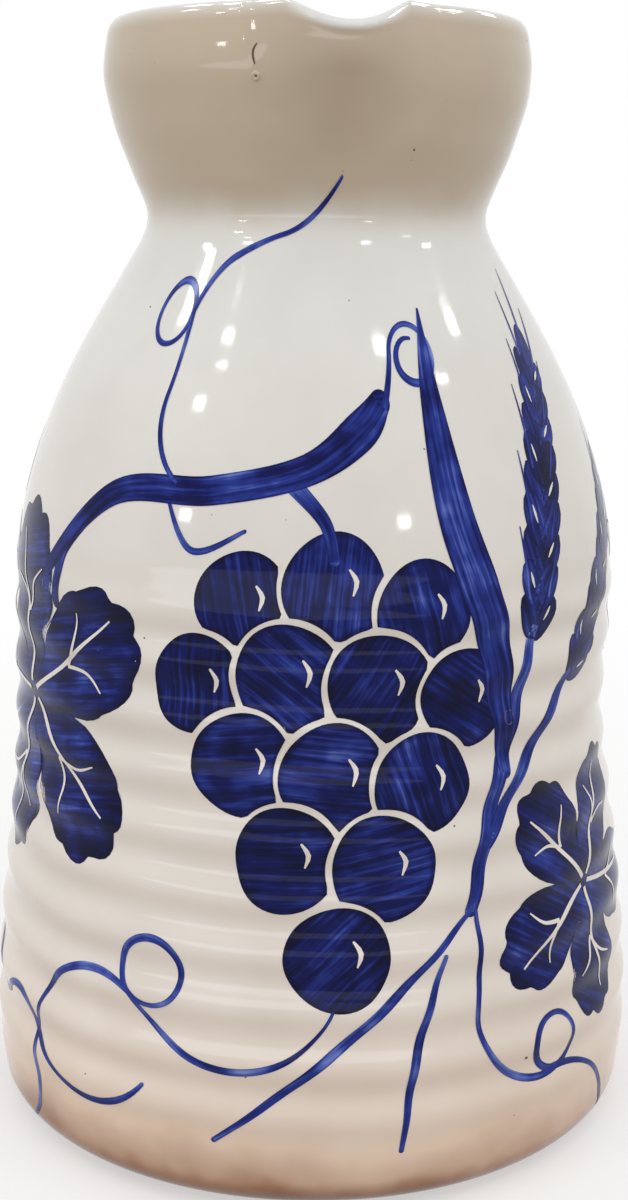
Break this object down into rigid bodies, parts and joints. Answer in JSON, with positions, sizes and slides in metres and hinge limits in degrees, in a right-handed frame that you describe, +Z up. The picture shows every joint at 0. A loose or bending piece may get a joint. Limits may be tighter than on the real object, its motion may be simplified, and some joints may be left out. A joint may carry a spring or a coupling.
{
  "type": "ceramic jug",
  "caption": "Hand-thrown ceramic jug with a full belly, a creased neck under a bowl-shaped collar, a set-in pouring spout and a pulled strap handle.",
  "frame": {"origin": "centre of the flat foot, on the surface that the jug stands on", "axes": "+Z up along the axis of the belly, -Y towards the pouring spout, +Y towards the handle"},
  "size_m": [0.1412, 0.1697, 0.23],
  "materials": {
    "white_glaze": "glossy white tin glaze over red-buff clay, painted in cobalt blue",
    "fired_slip": "fired clay slip, matt, hidden in the luted joints"
  },
  "bodies": {
    "root": {"body": "white_glaze", "collar": "white_glaze", "spout": "white_glaze", "handle": "white_glaze", "neck_slip": "fired_slip", "spout_slip": "fired_slip", "handle_top_slip": "fired_slip", "handle_foot_slip": "fired_slip"}
  },
  "joints": []
}
